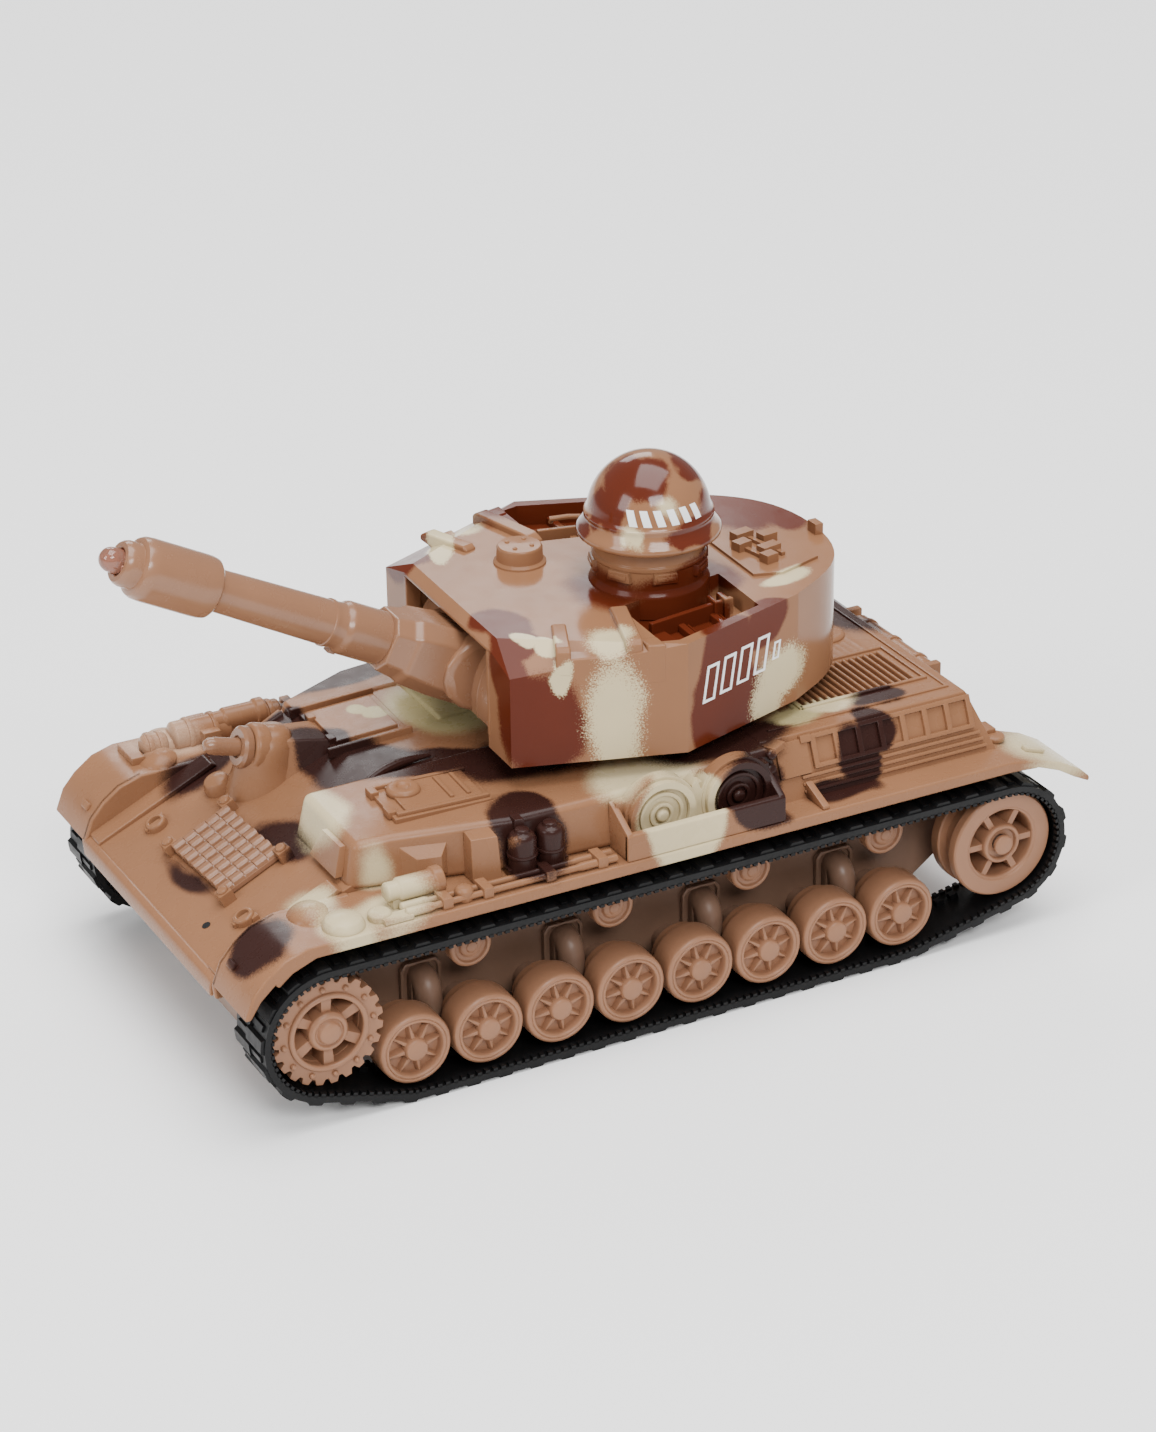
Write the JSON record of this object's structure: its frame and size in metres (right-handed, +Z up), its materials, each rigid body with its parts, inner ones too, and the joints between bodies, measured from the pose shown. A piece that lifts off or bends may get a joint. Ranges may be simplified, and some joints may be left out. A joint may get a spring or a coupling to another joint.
{
  "type": "toy tank",
  "caption": "Remote controlled toy battle tank: sloped hull on a tub, rubber tracks on ribbed road wheels, turning turret, lifting gun with a muzzle lamp, and a domed roof cover.",
  "frame": {"origin": "on the ground under the middle of the whole tank's box, gun included", "axes": "+X forward, +Y to the tank's own left, +Z up"},
  "size_m": [0.1964, 0.1022, 0.1068],
  "materials": {
    "camo_hull": "pinkish tan moulded plastic with sprayed dark brown and cream camouflage, satin",
    "camo_turret": "pinkish tan moulded plastic with sprayed red-brown and cream camouflage, glossy",
    "tan_plastic": "bare pinkish tan moulded plastic",
    "chassis_brown": "bare brown moulded plastic",
    "belt_rubber": "black moulded rubber with dust in the tread",
    "steel": "drawn steel wire and rod",
    "screw_steel": "zinc plated",
    "motor_can": "plated motor can",
    "gear_white": "white greased plastic",
    "gear_brass": "machined brass",
    "frame_grey": "grey moulded plastic",
    "board_green": "green circuit board",
    "speaker_black": "dark moulded plastic",
    "cell_wrap": "plain green wrapped cell",
    "contact_plate": "bright plated spring steel",
    "black_plastic": "black moulded plastic",
    "lamp_clear": "clear moulded lamp"
  },
  "bodies": {
    "hull": {"upper_hull": "camo_hull", "chassis_tub": "chassis_brown", "bogie_arms": "chassis_brown", "axle_bosses": "chassis_brown", "tub_fittings": "chassis_brown", "belt_left": "belt_rubber", "belt_right": "belt_rubber", "return_rollers": "tan_plastic", "wheel_pins": "steel", "spare_link_plate": "tan_plastic", "bow_gun": "tan_plastic", "gearbox_plates": "frame_grey", "drive_motors": "motor_can", "circuit_board": "board_green", "speaker": "speaker_black", "battery_cells": "cell_wrap", "battery_contacts": "contact_plate", "switch_body": "black_plastic", "hull_screws": "screw_steel", "turret_race": "black_plastic"},
    "battery_cover": {"battery_door": "chassis_brown", "battery_door_screw": "screw_steel"},
    "switch": {"switch_knob": "black_plastic"},
    "drive_left": {"sprocket_left": "tan_plastic", "drive_shaft_left": "steel", "final_gear_left": "gear_white"},
    "idler_wheel_left": {"idler_left": "tan_plastic"},
    "wheel_left_1": {"road_wheel_left_1": "tan_plastic"},
    "wheel_left_2": {"road_wheel_left_2": "tan_plastic"},
    "wheel_left_3": {"road_wheel_left_3": "tan_plastic"},
    "wheel_left_4": {"road_wheel_left_4": "tan_plastic"},
    "wheel_left_5": {"road_wheel_left_5": "tan_plastic"},
    "wheel_left_6": {"road_wheel_left_6": "tan_plastic"},
    "wheel_left_7": {"road_wheel_left_7": "tan_plastic"},
    "wheel_left_8": {"road_wheel_left_8": "tan_plastic"},
    "compound_left": {"compound_gear_left": "gear_white"},
    "pinion_left": {"motor_pinion_left": "gear_brass"},
    "drive_right": {"sprocket_right": "tan_plastic", "drive_shaft_right": "steel", "final_gear_right": "gear_white"},
    "idler_wheel_right": {"idler_right": "tan_plastic"},
    "wheel_right_1": {"road_wheel_right_1": "tan_plastic"},
    "wheel_right_2": {"road_wheel_right_2": "tan_plastic"},
    "wheel_right_3": {"road_wheel_right_3": "tan_plastic"},
    "wheel_right_4": {"road_wheel_right_4": "tan_plastic"},
    "wheel_right_5": {"road_wheel_right_5": "tan_plastic"},
    "wheel_right_6": {"road_wheel_right_6": "tan_plastic"},
    "wheel_right_7": {"road_wheel_right_7": "tan_plastic"},
    "wheel_right_8": {"road_wheel_right_8": "tan_plastic"},
    "compound_right": {"compound_gear_right": "gear_white"},
    "pinion_right": {"motor_pinion_right": "gear_brass"},
    "turret": {"turret_shell": "camo_turret", "turret_base": "tan_plastic", "turret_retainer": "black_plastic", "turret_screws": "screw_steel", "helmet": "camo_turret"},
    "gun": {"gun_mantlet": "tan_plastic", "gun_barrel": "tan_plastic", "muzzle_lamp": "lamp_clear"}
  },
  "joints": [
    {"name": "battery_cover_out", "type": "slide", "parent": "hull", "child": "battery_cover", "axis": [0, 0, -1], "range_m": [0, 0.012]},
    {"name": "switch_slide", "type": "slide", "parent": "hull", "child": "switch", "axis": [1, 0, 0], "range_m": [0, 0.002]},
    {"name": "drive_left_turn", "type": "hinge", "parent": "hull", "child": "drive_left", "pos_m": [0.07777, 0.044, 0.0201], "axis": [0, 1, 0], "continuous": true},
    {"name": "idler_wheel_left_turn", "type": "hinge", "parent": "hull", "child": "idler_wheel_left", "pos_m": [-0.07743, 0.044, 0.0204], "axis": [0, 1, 0], "continuous": true},
    {"name": "wheel_left_1_turn", "type": "hinge", "parent": "hull", "child": "wheel_left_1", "pos_m": [0.05937, 0.044, 0.0108], "axis": [0, 1, 0], "continuous": true},
    {"name": "wheel_left_2_turn", "type": "hinge", "parent": "hull", "child": "wheel_left_2", "pos_m": [0.04337, 0.044, 0.0108], "axis": [0, 1, 0], "continuous": true},
    {"name": "wheel_left_3_turn", "type": "hinge", "parent": "hull", "child": "wheel_left_3", "pos_m": [0.02737, 0.044, 0.0108], "axis": [0, 1, 0], "continuous": true},
    {"name": "wheel_left_4_turn", "type": "hinge", "parent": "hull", "child": "wheel_left_4", "pos_m": [0.01137, 0.044, 0.0108], "axis": [0, 1, 0], "continuous": true},
    {"name": "wheel_left_5_turn", "type": "hinge", "parent": "hull", "child": "wheel_left_5", "pos_m": [-0.00463, 0.044, 0.0108], "axis": [0, 1, 0], "continuous": true},
    {"name": "wheel_left_6_turn", "type": "hinge", "parent": "hull", "child": "wheel_left_6", "pos_m": [-0.02063, 0.044, 0.0108], "axis": [0, 1, 0], "continuous": true},
    {"name": "wheel_left_7_turn", "type": "hinge", "parent": "hull", "child": "wheel_left_7", "pos_m": [-0.03663, 0.044, 0.0108], "axis": [0, 1, 0], "continuous": true},
    {"name": "wheel_left_8_turn", "type": "hinge", "parent": "hull", "child": "wheel_left_8", "pos_m": [-0.05263, 0.044, 0.0108], "axis": [0, 1, 0], "continuous": true},
    {"name": "compound_left_turn", "type": "hinge", "parent": "hull", "child": "compound_left", "pos_m": [0.06637, 0.044, 0.0201], "axis": [0, 1, 0], "continuous": true},
    {"name": "pinion_left_turn", "type": "hinge", "parent": "hull", "child": "pinion_left", "pos_m": [0.05437, 0.044, 0.0201], "axis": [0, 1, 0], "continuous": true},
    {"name": "drive_right_turn", "type": "hinge", "parent": "hull", "child": "drive_right", "pos_m": [0.07777, -0.044, 0.0201], "axis": [0, 1, 0], "continuous": true},
    {"name": "idler_wheel_right_turn", "type": "hinge", "parent": "hull", "child": "idler_wheel_right", "pos_m": [-0.07743, -0.044, 0.0204], "axis": [0, 1, 0], "continuous": true},
    {"name": "wheel_right_1_turn", "type": "hinge", "parent": "hull", "child": "wheel_right_1", "pos_m": [0.05937, -0.044, 0.0108], "axis": [0, 1, 0], "continuous": true},
    {"name": "wheel_right_2_turn", "type": "hinge", "parent": "hull", "child": "wheel_right_2", "pos_m": [0.04337, -0.044, 0.0108], "axis": [0, 1, 0], "continuous": true},
    {"name": "wheel_right_3_turn", "type": "hinge", "parent": "hull", "child": "wheel_right_3", "pos_m": [0.02737, -0.044, 0.0108], "axis": [0, 1, 0], "continuous": true},
    {"name": "wheel_right_4_turn", "type": "hinge", "parent": "hull", "child": "wheel_right_4", "pos_m": [0.01137, -0.044, 0.0108], "axis": [0, 1, 0], "continuous": true},
    {"name": "wheel_right_5_turn", "type": "hinge", "parent": "hull", "child": "wheel_right_5", "pos_m": [-0.00463, -0.044, 0.0108], "axis": [0, 1, 0], "continuous": true},
    {"name": "wheel_right_6_turn", "type": "hinge", "parent": "hull", "child": "wheel_right_6", "pos_m": [-0.02063, -0.044, 0.0108], "axis": [0, 1, 0], "continuous": true},
    {"name": "wheel_right_7_turn", "type": "hinge", "parent": "hull", "child": "wheel_right_7", "pos_m": [-0.03663, -0.044, 0.0108], "axis": [0, 1, 0], "continuous": true},
    {"name": "wheel_right_8_turn", "type": "hinge", "parent": "hull", "child": "wheel_right_8", "pos_m": [-0.05263, -0.044, 0.0108], "axis": [0, 1, 0], "continuous": true},
    {"name": "compound_right_turn", "type": "hinge", "parent": "hull", "child": "compound_right", "pos_m": [0.06637, -0.044, 0.0201], "axis": [0, 1, 0], "continuous": true},
    {"name": "pinion_right_turn", "type": "hinge", "parent": "hull", "child": "pinion_right", "pos_m": [0.05437, -0.044, 0.0201], "axis": [0, 1, 0], "continuous": true},
    {"name": "turret_turn", "type": "hinge", "parent": "hull", "child": "turret", "pos_m": [-0.01263, 0, 0.052], "axis": [0, 0, 1], "range_deg": [-150, 150]},
    {"name": "gun_lift", "type": "hinge", "parent": "turret", "child": "gun", "pos_m": [0.00936, -0.00077, 0.0616], "axis": [-0.0349, -0.9994, 0], "range_deg": [-22, 3]}
  ],
  "couplings": [
    {"joint": "idler_wheel_left_turn", "follows": "drive_left_turn", "ratio": 1.0163},
    {"joint": "wheel_left_1_turn", "follows": "drive_left_turn", "ratio": 1.5244},
    {"joint": "wheel_left_2_turn", "follows": "drive_left_turn", "ratio": 1.5244},
    {"joint": "wheel_left_3_turn", "follows": "drive_left_turn", "ratio": 1.5244},
    {"joint": "wheel_left_4_turn", "follows": "drive_left_turn", "ratio": 1.5244},
    {"joint": "wheel_left_5_turn", "follows": "drive_left_turn", "ratio": 1.5244},
    {"joint": "wheel_left_6_turn", "follows": "drive_left_turn", "ratio": 1.5244},
    {"joint": "wheel_left_7_turn", "follows": "drive_left_turn", "ratio": 1.5244},
    {"joint": "wheel_left_8_turn", "follows": "drive_left_turn", "ratio": 1.5244},
    {"joint": "compound_left_turn", "follows": "drive_left_turn", "ratio": -2.1667},
    {"joint": "pinion_left_turn", "follows": "drive_left_turn", "ratio": 6.5},
    {"joint": "idler_wheel_right_turn", "follows": "drive_right_turn", "ratio": 1.0163},
    {"joint": "wheel_right_1_turn", "follows": "drive_right_turn", "ratio": 1.5244},
    {"joint": "wheel_right_2_turn", "follows": "drive_right_turn", "ratio": 1.5244},
    {"joint": "wheel_right_3_turn", "follows": "drive_right_turn", "ratio": 1.5244},
    {"joint": "wheel_right_4_turn", "follows": "drive_right_turn", "ratio": 1.5244},
    {"joint": "wheel_right_5_turn", "follows": "drive_right_turn", "ratio": 1.5244},
    {"joint": "wheel_right_6_turn", "follows": "drive_right_turn", "ratio": 1.5244},
    {"joint": "wheel_right_7_turn", "follows": "drive_right_turn", "ratio": 1.5244},
    {"joint": "wheel_right_8_turn", "follows": "drive_right_turn", "ratio": 1.5244},
    {"joint": "compound_right_turn", "follows": "drive_right_turn", "ratio": -2.1667},
    {"joint": "pinion_right_turn", "follows": "drive_right_turn", "ratio": 6.5}
  ]
}
